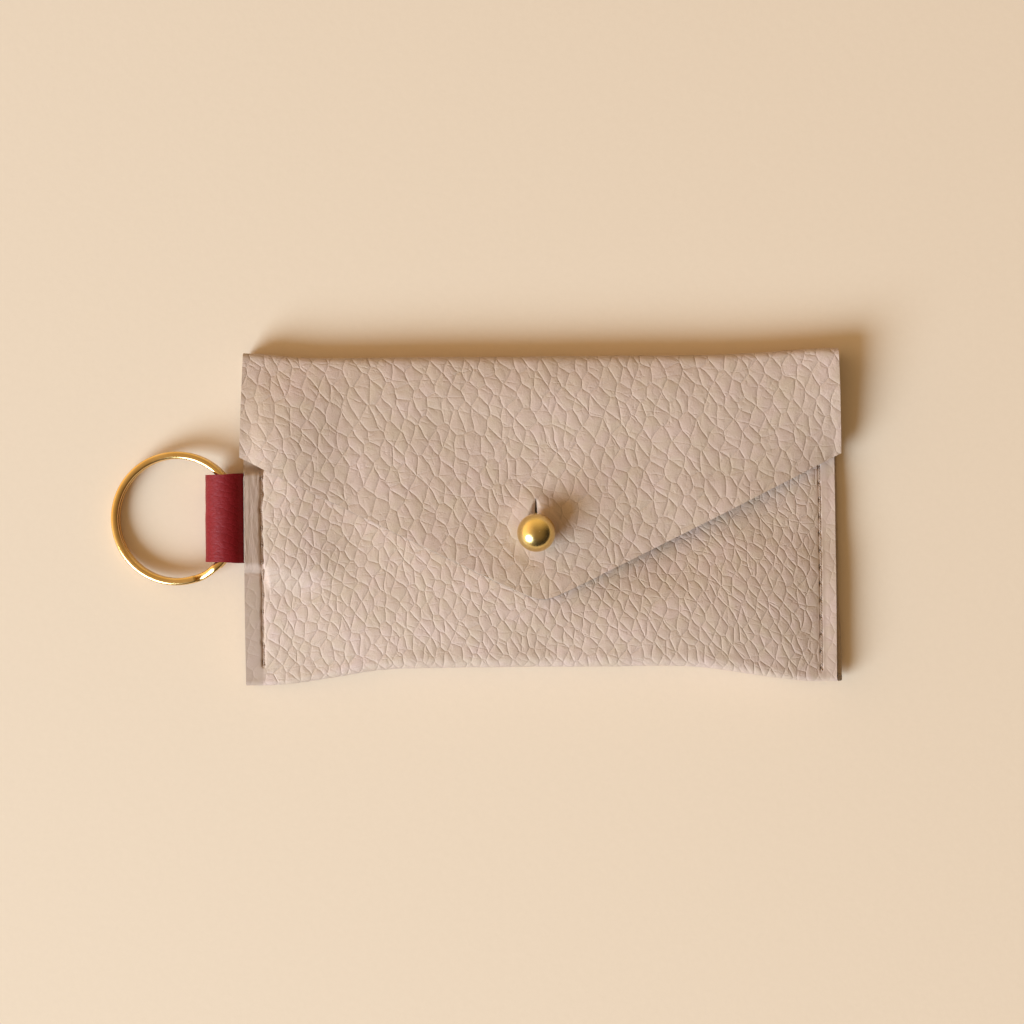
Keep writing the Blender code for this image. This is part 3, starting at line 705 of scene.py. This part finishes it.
def thread_path(side, face):
    """Where a thread runs: down through each needle hole, and along the leather between two holes."""
    x = side * SEAM_X
    shown_x = x + float(seam_shift(np.array([x]))[0])
    places = seam_holes(side)
    first, last = places[0], places[-1]

    def level(y):
        at = np.array([float(x)]), np.array([y])
        base = front_face(*at) if face > 0 else back_z(*at)
        return float(base[0])

    def middle(y):
        at = np.array([float(x)]), np.array([y])
        return float((seam_rise(*at) * seam_share(at[1]))[0]) + LEATHER + LAYER_GAP / 2

    rest = -0.55 if side < 0 else -0.24
    points = [(first - 0.95, level(first - 0.95) - face * 0.5), (first - 0.7, level(first - 0.7) - face * 0.05)]
    for y, following in zip(places, places[1:] + [None]):
        over, under = level(y) + face * rest, level(y) - face * 0.30
        points += [(y - 0.42, over), (y - 0.16, under), (y, middle(y) + face * 0.33)]
        points += [(y + 0.16, under), (y + 0.42, over)]
        if following is not None:
            mid = (y + following) / 2
            points += [(mid + shift, level(mid) + face * (rest + 0.04)) for shift in (-0.5, 0.5)]
    points.append((last + 0.7, level(last) - face * 0.05))
    points.append((last + 0.95, level(last) - face * 0.5))
    return np.array([(shown_x, y, z) for y, z in points])


def resampled(points, step):
    """The same path with rounded corners and equal short steps."""
    points = np.asarray(points, float)
    length = np.concatenate([[0], np.cumsum(np.linalg.norm(np.diff(points, axis=0), axis=1))])
    at = np.linspace(0, length[-1], max(8, int(length[-1] / step)))
    made = np.stack([np.interp(at, length, points[:, k]) for k in range(3)], axis=1)
    return soften(made, 4)


def make_thread(name, node, side, face, surface):
    """A thread of two plies, twisted round each other."""
    path = resampled(thread_path(side, face), 0.09)
    length = np.concatenate([[0], np.cumsum(np.linalg.norm(np.diff(path, axis=0), axis=1))])
    along = unit(np.gradient(path, axis=0))
    across = np.broadcast_to([1.0, 0.0, 0.0], along.shape)
    up = np.cross(across, along)
    plies = []
    for ply in (0, 1):
        turn = length / THREAD_TWIST * math.tau + ply * math.pi
        line = path + THREAD_PLY_OFFSET * (across * np.cos(turn)[:, None] + up * np.sin(turn)[:, None])
        plies.append(swept(line, THREAD_PLY_RADIUS, 7))
    points, faces = merged(plies)
    made = mesh_object(name, points, faces, [surface])
    return finish_piece(made, "pocket", "thread", node)


def finish_piece(made, body, slot, *nodes):
    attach(made, body)
    if nodes:
        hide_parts(*nodes)
    return made


def tab_path():
    """Outer line of the tab's leather in the XZ plane, from its upper tail's end round to the lower one's."""
    close = 0.40 / 4 * math.tau
    tail_lift = LAYER_GAP / 2 + TAB_LEATHER / 2
    leave_x, leave_z = TAB_RADIUS * math.cos(close), TAB_RADIUS * math.sin(close)
    run = (leave_z - tail_lift) / math.cos(close)
    corner = TAB_X + leave_x + run * math.sin(close)
    upper = [(x, tail_lift) for x in np.linspace(-HALF_WIDTH + TAB_TAIL, corner, 12)]
    turns = np.linspace(close, math.tau - close, 60)
    loop = [(TAB_X + TAB_RADIUS * math.cos(a), TAB_RADIUS * math.sin(a)) for a in turns]
    lower = [(x, -z) for x, z in reversed(upper)]
    return np.array([(x, 0.0, TAB_SEAM_HEIGHT + z) for x, z in upper + loop + lower])


def make_tab(surfaces):
    path = resampled(tab_path(), 0.2)
    rows = len(path) - 1 - (len(path) - 1) % COARSE
    at = np.linspace(0, len(path) - 1, rows + 1)
    path = np.stack([np.interp(at, np.arange(len(path)), path[:, k]) for k in range(3)], axis=1)
    columns = 80
    across = np.linspace(-1.0, 1.0, columns + 1)
    loop_share = smooth((-path[:, 0] - HALF_WIDTH - 1.0) / 3.0)
    half = TAB_HALF - 0.22 * loop_share
    grid = np.zeros((rows + 1, columns + 1, 3))
    grid[..., 0] = path[:, None, 0]
    grid[..., 1] = across[None, :] * half[:, None] + TAB_Y
    grid[..., 2] = path[:, None, 2]
    out = facing(grid)
    s = run_length(grid)
    y = grid[..., 1]
    # A band along the loop near its nose: worn pits in the relief, and a lighter colour where the loop's highlight
    # falls, which is painted highlight.
    wear_and_highlight = np.exp(-(((grid[..., 0] + 59.8 + 0.5 * noise(y, s, 3.0, 64)) / 1.5) ** 2))
    height = 0.04 * noise(y, s, 2.6, 61) + 0.03 * noise(y, s, 1.1, 62)
    height = height - 0.06 * wear_and_highlight * np.abs(noise(y * 1.3, s * 2.6, 1.0, 65))
    outer = grid + out * (TAB_LEATHER / 2 + height[..., None])
    inner = grid - out * TAB_LEATHER / 2
    place = np.stack([y, s, np.zeros(y.shape)], axis=2)
    finish_and_painted_light = np.stack([0 * y + 1.0, wear_and_highlight, 0 * y], axis=2)
    made = closed_sheet("tab_leather", outer, inner, place, finish_and_painted_light, surfaces, 0.03)
    return finish_piece(made, "pocket", "tab_leather", "key_tab")


def ring_frame(points):
    """Turns points from the ring's own frame into the holder's."""
    c, s = math.cos(-RING_TILT), math.sin(-RING_TILT)
    x, y, z = points[..., 0], points[..., 1], points[..., 2]
    return np.stack([TAB_X + x * c + z * s, y, TAB_SEAM_HEIGHT - x * s + z * c], axis=-1)


def make_ring(surface):
    """Two turns of flat-rounded wire with a step between them and two blunt ends."""
    radius = RING_OUTSIDE / 2 - RING_WIRE_WIDTH / 2
    half_step = RING_STEP_SPAN / 2
    margin = half_step + 0.3 / radius
    level = (RING_WIRE_HEIGHT + RING_TURN_GAP) / 2
    turn = np.linspace(margin, 2 * math.tau - margin, 760)
    drop = smooth((turn - math.tau + half_step) / RING_STEP_SPAN)
    angle = RING_STEP_ANGLE - turn
    across, along = radius * np.cos(angle) - RING_OFFSET, radius * np.sin(angle) + RING_SHIFT
    centre = np.stack([across, along, level * (1 - 2 * drop)], axis=1)
    outward = np.stack([np.cos(angle), np.sin(angle), np.zeros(angle.shape)], axis=1)
    up = np.array([0.0, 0.0, 1.0])
    sides = 28
    part = np.arange(sides) / sides * math.tau
    wide = np.sign(np.cos(part)) * np.abs(np.cos(part)) ** 0.72 * RING_WIRE_WIDTH / 2
    tall = np.sign(np.sin(part)) * np.abs(np.sin(part)) ** 0.72 * RING_WIRE_HEIGHT / 2
    run = (turn - margin) * radius
    ends = np.minimum(run, run[-1] - run)
    shrink = 1.0 - 0.16 * (1.0 - smooth(ends / 0.16))
    sections = centre[:, None, :] + outward[:, None, :] * (wide[None, :, None] * shrink[:, None, None])
    sections = sections + up[None, None, :] * (tall[None, :, None] * shrink[:, None, None])
    points, faces = tube_rows(centre, ring_frame(sections))
    made = mesh_object("key_ring_wire", points, [face[::-1] for face in faces], [surface])
    add_values(made.data, "turn", np.repeat(run, sides))
    sharpen(made.data, 40)
    return finish_piece(made, "key_ring", "ring_brass", "split_ring")


def sharpen(mesh, degrees):
    mesh.set_sharp_from_angle(angle=math.radians(degrees))


def turned(name, profile, steps, surface):
    """A profile of radius and height, outer side from top to bottom, turned about the stud's axis."""
    profile = np.array(profile)
    angle = np.arange(steps) / steps * math.tau
    faces, index, points = [], [], []
    for r, z in profile:
        if r < 1e-6:
            index.append([len(points)] * steps)
            points.append((STUD_X, STUD_Y, z))
        else:
            index.append([len(points) + k for k in range(steps)])
            points += [(STUD_X + r * math.cos(a), STUD_Y + r * math.sin(a), z) for a in angle]
    for first, second in zip(index[:-1], index[1:]):
        for k in range(steps):
            n = (k + 1) % steps
            face = []
            for v in (first[k], second[k], second[n], first[n]):
                if v not in face:
                    face.append(v)
            if len(face) > 2:
                faces.append(face)
    return mesh_object(name, points, faces, [surface])


def make_stud(surface):
    low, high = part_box("stud_post")
    top = high.z / MM
    seat = low.z / MM
    centre = top - BALL_RADIUS
    neck = 2.1
    flange = 3.7
    flange_top = seat + 0.9
    hole = 1.45
    turns = np.linspace(0, math.pi - math.asin(neck / BALL_RADIUS), 56)
    ball = [(BALL_RADIUS * math.sin(a), centre + BALL_RADIUS * math.cos(a)) for a in turns]
    ball[0] = (0.0, ball[0][1])
    profile = ball + [(neck, ball[-1][1] - 0.1), (neck, flange_top + 0.15), (neck + 0.15, flange_top)]
    profile += [(flange - 0.15, flange_top), (flange, flange_top - 0.15), (flange, seat + 0.1), (flange - 0.1, seat)]
    profile += [(hole, seat), (hole, seat + 4.0), (0.0, seat + 4.0)]
    made = turned("ball_stud", profile, 96, surface)
    sharpen(made.data, 50)
    return finish_piece(made, "pocket", "stud_brass", "stud_post")


def new_material(name):
    made = bpy.data.materials.new(name)
    made.use_nodes = True
    return made, made.node_tree, made.node_tree.nodes["Principled BSDF"]


def add(tree, kind, **settings):
    made = tree.nodes.new(kind)
    for key, value in settings.items():
        if hasattr(made, key):
            setattr(made, key, value)
    return made


def link(tree, source, target):
    tree.links.new(source, target)


def put(node, values):
    for name, value in values.items():
        node.inputs[name].default_value = value


def read(tree, name):
    return add(tree, "ShaderNodeAttribute", attribute_name=name, attribute_type="GEOMETRY")


def speckle(tree, vector, scale, detail=2.0, rough=0.5):
    made = add(tree, "ShaderNodeTexNoise")
    put(made, {"Scale": scale, "Detail": detail, "Roughness": rough})
    link(tree, vector, made.inputs["Vector"])
    return made.outputs["Fac"]


def spread(tree, value, low, high, to_low=0.0, to_high=1.0):
    made = add(tree, "ShaderNodeMapRange")
    put(made, {"From Min": low, "From Max": high, "To Min": to_low, "To Max": to_high})
    link(tree, value, made.inputs["Value"])
    return made.outputs["Result"]


def mix(tree, share, first, second):
    """A colour between two colours or colour sockets."""
    made = add(tree, "ShaderNodeMix", data_type="RGBA")
    if hasattr(share, "is_output"):
        link(tree, share, made.inputs[0])
    else:
        made.inputs[0].default_value = share
    for socket, value in ((made.inputs[6], first), (made.inputs[7], second)):
        if hasattr(value, "is_output"):
            link(tree, value, socket)
        else:
            socket.default_value = (*value, 1.0)
    return made.outputs[2]


def math_node(tree, operation, first, second):
    made = add(tree, "ShaderNodeMath", operation=operation)
    for socket, value in zip(made.inputs, (first, second)):
        if hasattr(value, "is_output"):
            link(tree, value, socket)
        else:
            socket.default_value = value
    return made.outputs[0]


def times(tree, first, second):
    return math_node(tree, "MULTIPLY", first, second)


def plus(tree, first, second):
    return math_node(tree, "ADD", first, second)


def larger(tree, first, second):
    return math_node(tree, "MAXIMUM", first, second)


def bump(tree, height, depth, shader, strength=1.0):
    """Fine relief of that depth in metres."""
    made = add(tree, "ShaderNodeBump")
    put(made, {"Strength": strength, "Distance": depth})
    link(tree, height, made.inputs["Height"])
    link(tree, made.outputs["Normal"], shader.inputs["Normal"])


def shifted(tree, vector, size, reach, detail=1.0):
    """The same place, moved about by smooth noise of that size and reach in millimetres."""
    lumps = add(tree, "ShaderNodeTexNoise")
    put(lumps, {"Scale": 1.0 / size, "Detail": detail})
    link(tree, vector, lumps.inputs["Vector"])
    offset = add(tree, "ShaderNodeVectorMath", operation="SUBTRACT")
    link(tree, lumps.outputs["Color"], offset.inputs[0])
    offset.inputs[1].default_value = (0.5, 0.5, 0.5)
    moved = add(tree, "ShaderNodeVectorMath", operation="MULTIPLY_ADD")
    link(tree, offset.outputs[0], moved.inputs[0])
    moved.inputs[1].default_value = (reach, reach, 0.0)
    link(tree, vector, moved.inputs[2])
    return moved.outputs[0]


def crease_net(tree, vector, first, second, randomness):
    """Distance, in cells, from the edges of a net of cells whose sides run along two slanting directions."""
    flat = add(tree, "ShaderNodeCombineXYZ")
    for socket, row in ((flat.inputs[0], first), (flat.inputs[1], second)):
        along = add(tree, "ShaderNodeVectorMath", operation="DOT_PRODUCT")
        link(tree, vector, along.inputs[0])
        along.inputs[1].default_value = (*row, 0.0)
        link(tree, along.outputs["Value"], socket)
    net = add(tree, "ShaderNodeTexVoronoi", feature="DISTANCE_TO_EDGE", voronoi_dimensions="2D")
    put(net, {"Scale": 1.0, "Randomness": randomness})
    link(tree, flat.outputs[0], net.inputs["Vector"])
    return net.outputs["Distance"]


def falloff(tree, distance, width):
    """From 1 in the crease to 0 away from it."""
    scaled = times(tree, distance, -1.0 / width)
    return math_node(tree, "EXPONENT", scaled, 0.0)


def net_rows(width, length, angle, other):
    """Rows for a net with sides of that width along one angle and of that length along the other, in degrees."""
    a, b = math.radians(angle), math.radians(other)
    ax, ay = width * math.cos(a), width * math.sin(a)
    bx, by = length * math.cos(b), length * math.sin(b)
    whole = ax * by - ay * bx
    return (by / whole, -bx / whole), (-ay / whole, ax / whole)


def pebble_relief(tree, place, size, depth):
    """Height in millimetres of a pebbled grain, and how far into its creases each place is."""
    moved = shifted(tree, shifted(tree, place, 8.0 * size, 2.4 * size), 2.2 * size, 0.5 * size)
    plates = crease_net(tree, moved, *net_rows(3.1 * size, 2.9 * size, -48.0, 68.0), 0.66)
    splits = crease_net(tree, moved, *net_rows(6.5 * size, 2.9 * size, -8.0, 76.0), 0.80)
    small = crease_net(tree, moved, *net_rows(1.7 * size, 1.5 * size, -20.0, 70.0), 1.0)
    strength = spread(tree, speckle(tree, place, 0.55 / size, 2.0), 0.30, 0.70, 0.55, 1.15)
    sharp = falloff(tree, plates, 0.085)
    dome = falloff(tree, plates, 0.42)
    patchy = speckle(tree, place, 0.4 / size)
    cross = times(tree, falloff(tree, splits, 0.055), spread(tree, patchy, 0.35, 0.6, 0.1, 0.8))
    fine = times(tree, falloff(tree, small, 0.10), spread(tree, speckle(tree, place, 0.42 / size), 0.42, 0.62))
    deep = larger(tree, times(tree, sharp, strength), cross)
    height = plus(tree, times(tree, deep, -0.075), times(tree, dome, -0.085))
    height = plus(tree, height, times(tree, fine, -0.030))
    height = plus(tree, height, times(tree, speckle(tree, place, 2.8 / size, 5.0, 0.70), 0.075))
    return times(tree, height, depth), larger(tree, deep, times(tree, fine, 0.4))


def leather_material(name, tones, crease_shade_tone, roughness, specular, size, depth, streak_and_highlight_tone):
    made, tree, shader = new_material(name)
    dark, light, warm = tones
    place = read(tree, "place").outputs["Vector"]
    parts = add(tree, "ShaderNodeSeparateXYZ")
    link(tree, read(tree, "finish_and_painted_light").outputs["Vector"], parts.inputs[0])
    # Three values per place: how calm the relief is, the worn strip beside the tab (on the tab, a band of painted
    # highlight), and the left margin, which gets painted shade.
    calm, strip, margin = parts.outputs
    relief, deep = pebble_relief(tree, place, size, depth)
    colour = mix(tree, spread(tree, speckle(tree, place, 0.10, 3.0), 0.35, 0.65), dark, light)
    colour = mix(tree, spread(tree, speckle(tree, place, 0.28, 3.0), 0.40, 0.70, 0.0, 0.85), colour, warm)
    colour = mix(tree, spread(tree, speckle(tree, place, 2.4, 3.0), 0.3, 0.7, 0.0, 0.18), colour, dark)
    # Painted shade: the colour is darkened into the grain's creases, on top of their relief.
    colour = mix(tree, times(tree, times(tree, deep, 0.16), calm), colour, crease_shade_tone)
    # Painted shade: the left margin's colour is darkened towards the crease shade tone.
    colour = mix(tree, times(tree, margin, 0.5), colour, tuple(0.85 * c for c in crease_shade_tone))
    streaks = add(tree, "ShaderNodeVectorMath", operation="MULTIPLY")
    link(tree, place, streaks.inputs[0])
    streaks.inputs[1].default_value = (4.2, 0.42, 1.0)
    streak = speckle(tree, streaks.outputs[0], 1.0, 4.0, 0.6)
    # Worn streaks for the strip beside the tab; on the tab the same mix lightens the band where its highlight falls:
    # painted highlight.
    wear_and_highlight = mix(tree, spread(tree, streak, 0.35, 0.65), tuple(0.80 * c for c in streak_and_highlight_tone), streak_and_highlight_tone)
    colour = mix(tree, times(tree, strip, 0.55), colour, wear_and_highlight)
    link(tree, colour, shader.inputs["Base Color"])
    rough = spread(tree, speckle(tree, place, 1.1, 3.0), 0.3, 0.7, roughness - 0.07, roughness + 0.07)
    link(tree, rough, shader.inputs["Roughness"])
    shader.inputs["Specular IOR Level"].default_value = specular
    height = times(tree, relief, calm)
    height = plus(tree, height, times(tree, times(tree, streak, strip), 0.10))
    bump(tree, height, 0.001, shader)
    return made


def raw_material(name, dark, light, depth):
    """The fibrous cut edge and flesh side."""
    made, tree, shader = new_material(name)
    place = read(tree, "place").outputs["Vector"]
    colour = mix(tree, spread(tree, speckle(tree, place, 1.3, 4.0, 0.7), 0.32, 0.68), dark, light)
    link(tree, colour, shader.inputs["Base Color"])
    put(shader, {"Roughness": 0.92, "Specular IOR Level": 0.15, "Sheen Weight": 0.05, "Sheen Roughness": 0.6})
    bump(tree, speckle(tree, place, 4.0, 5.0, 0.75), depth, shader)
    return made


def thread_material():
    made, tree, shader = new_material("taupe_thread")
    place = add(tree, "ShaderNodeTexCoord").outputs["Object"]
    fibres = spread(tree, speckle(tree, place, 2600.0, 3.0), 0.3, 0.7)
    colour = mix(tree, fibres, (0.44, 0.31, 0.23), (0.60, 0.45, 0.35))
    link(tree, colour, shader.inputs["Base Color"])
    put(shader, {"Roughness": 0.7, "Sheen Weight": 0.2})
    bump(tree, speckle(tree, place, 9000.0, 3.0), 0.00003, shader)
    return made


def brass_material(name, colour_low, colour_high, roughness, scratch):
    made, tree, shader = new_material(name)
    place = add(tree, "ShaderNodeTexCoord").outputs["Object"]
    tone = spread(tree, speckle(tree, place, 300.0, 4.0), 0.3, 0.7)
    link(tree, mix(tree, tone, colour_low, colour_high), shader.inputs["Base Color"])
    shader.inputs["Metallic"].default_value = 1.0
    rough = spread(tree, speckle(tree, place, 1500.0, 4.0, 0.7), 0.25, 0.75, roughness - 0.05, roughness + 0.07)
    link(tree, rough, shader.inputs["Roughness"])
    bump(tree, speckle(tree, place, 5200.0, 3.0), scratch, shader)
    return made


def floor_material():
    made, tree, shader = new_material("studio_paper")
    place = add(tree, "ShaderNodeTexCoord").outputs["Object"]
    tone = spread(tree, speckle(tree, place, 900.0, 4.0, 0.7), 0.3, 0.7)
    link(tree, mix(tree, tone, (0.804, 0.652, 0.495), (0.820, 0.666, 0.507)), shader.inputs["Base Color"])
    put(shader, {"Roughness": 0.95, "Specular IOR Level": 0.1})
    bump(tree, speckle(tree, place, 500.0, 3.0, 0.6), 0.00002, shader)
    return made


def make_floor():
    size = 2600.0
    corners = [(i * size, j * size, -0.03) for i, j in ((-1, -1), (1, -1), (1, 1), (-1, 1))]
    floor = mesh_object("studio_floor", corners, [[0, 1, 2, 3]], [floor_material()])


def aim(made, target):
    made.rotation_mode = "QUATERNION"
    made.rotation_quaternion = (Vector(target) - made.location).to_track_quat("-Z", "Y")


def add_lamp(name, azimuth, elevation, distance, size, power, colour):
    """A round soft lamp, azimuth counted from +X towards +Y."""
    lamp = bpy.data.lights.new(name, "AREA")
    lamp.shape = "DISK"
    lamp.size = size
    lamp.energy = power
    lamp.color = colour
    made = bpy.data.objects.new(name, lamp)
    bpy.context.scene.collection.objects.link(made)
    a, e = math.radians(azimuth), math.radians(elevation)
    reach = distance * math.cos(e)
    made.location = (reach * math.cos(a), reach * math.sin(a), distance * math.sin(e))
    aim(made, (0.0, 0.0, 0.0))


def make_sky(tree):
    """Warm fill from overhead and from the left; metal also sees a pale backdrop beyond the top edge."""
    parts = add(tree, "ShaderNodeSeparateXYZ")
    link(tree, add(tree, "ShaderNodeTexCoord").outputs["Generated"], parts.inputs[0])
    to_right, to_back, up = parts.outputs
    left = larger(tree, times(tree, to_right, -1.0), 0.0)
    back = larger(tree, to_back, 0.0)
    squares = [times(tree, side, side) for side in (up, left, back)]
    reflected = add(tree, "ShaderNodeLightPath").outputs["Is Glossy Ray"]
    glossy = times(tree, reflected, squares[2])
    squares[0] = times(tree, squares[0], spread(tree, reflected, 0.0, 1.0, 1.0, 0.5))
    colour = add(tree, "ShaderNodeCombineColor")
    shares = (("Red", 0.60, 1.84, 1.05), ("Green", 0.41, 1.28, 0.76), ("Blue", 0.21, 0.72, 0.38))
    for channel, overhead, from_left, backdrop in shares:
        value = times(tree, squares[0], overhead)
        value = plus(tree, value, times(tree, squares[1], from_left))
        value = plus(tree, value, times(tree, glossy, backdrop))
        link(tree, plus(tree, value, 0.01), colour.inputs[channel])
    background = tree.nodes["Background"]
    link(tree, colour.outputs[0], background.inputs["Color"])
    background.inputs["Strength"].default_value = 1.0


def make_studio():
    scene = bpy.context.scene
    scene.view_settings.view_transform = "Standard"
    lens = bpy.data.cameras.new("camera")
    lens.sensor_width = 36.0
    lens.lens = CAMERA_LENS
    lens.clip_start, lens.clip_end = 0.01, 20.0
    camera = bpy.data.objects.new("camera", lens)
    camera.location = [along * MM for along in CAMERA]
    camera.rotation_euler = (0.0, 0.0, CAMERA_ROLL)
    scene.collection.objects.link(camera)
    scene.camera = camera
    add_lamp("key", KEY_AZIMUTH, KEY_ELEVATION, 2.1, 1.3, 70.0, (0.62, 0.81, 1.0))
    world = bpy.data.worlds.new("studio")
    world.use_nodes = True
    scene.world = world
    make_sky(world.node_tree)
    make_floor()


def main():
    make_studio()
    taupes = ((0.565, 0.418, 0.325), (0.632, 0.468, 0.396), (0.582, 0.448, 0.330))
    grain_leather = leather_material(
        "taupe_grain", taupes, (0.40, 0.28, 0.205), 0.55, 0.35, 1.0, 1.0, (0.60, 0.435, 0.340)
    )
    raw_leather = raw_material("taupe_raw", (0.31, 0.23, 0.17), (0.50, 0.39, 0.29), 0.00008)
    flesh = raw_material("taupe_flesh", (0.50, 0.39, 0.30), (0.62, 0.49, 0.38), 0.00008)
    reds = ((0.175, 0.006, 0.009), (0.240, 0.010, 0.014), (0.205, 0.007, 0.010))
    tab_grain = leather_material(
        "burgundy_grain", reds, (0.115, 0.004, 0.006), 0.46, 0.16, 0.38, 0.34, (0.26, 0.03, 0.035)
    )
    tab_raw = raw_material("burgundy_raw", (0.38, 0.10, 0.10), (0.60, 0.26, 0.24), 0.00006)
    thread = thread_material()
    satin = brass_material("satin_brass", (0.74, 0.54, 0.20), (0.84, 0.63, 0.27), 0.22, 0.000003)
    bright = brass_material("bright_brass", (0.76, 0.50, 0.18), (0.86, 0.60, 0.26), 0.16, 0.000002)

    pocket = make_pocket([grain_leather, raw_leather, flesh])
    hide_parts("leather_pocket")
    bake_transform(pocket)
    flap = make_flap([grain_leather, raw_leather, flesh])
    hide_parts("flap", "flap_buttonhole", "top_fold")
    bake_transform(flap)
    make_tab([tab_grain, tab_raw, tab_raw])
    for side, word in ((-1, "left"), (1, "right")):
        for face, line in ((1, "needle"), (-1, "bobbin")):
            make_thread(f"{word}_{line}_stitches", f"{word}_{line}_thread", side, face, thread)
    make_ring(bright)
    make_stud(satin)
    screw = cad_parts["stud_screw"]
    screw.data.materials.clear()
    screw.data.materials.append(satin)


main()
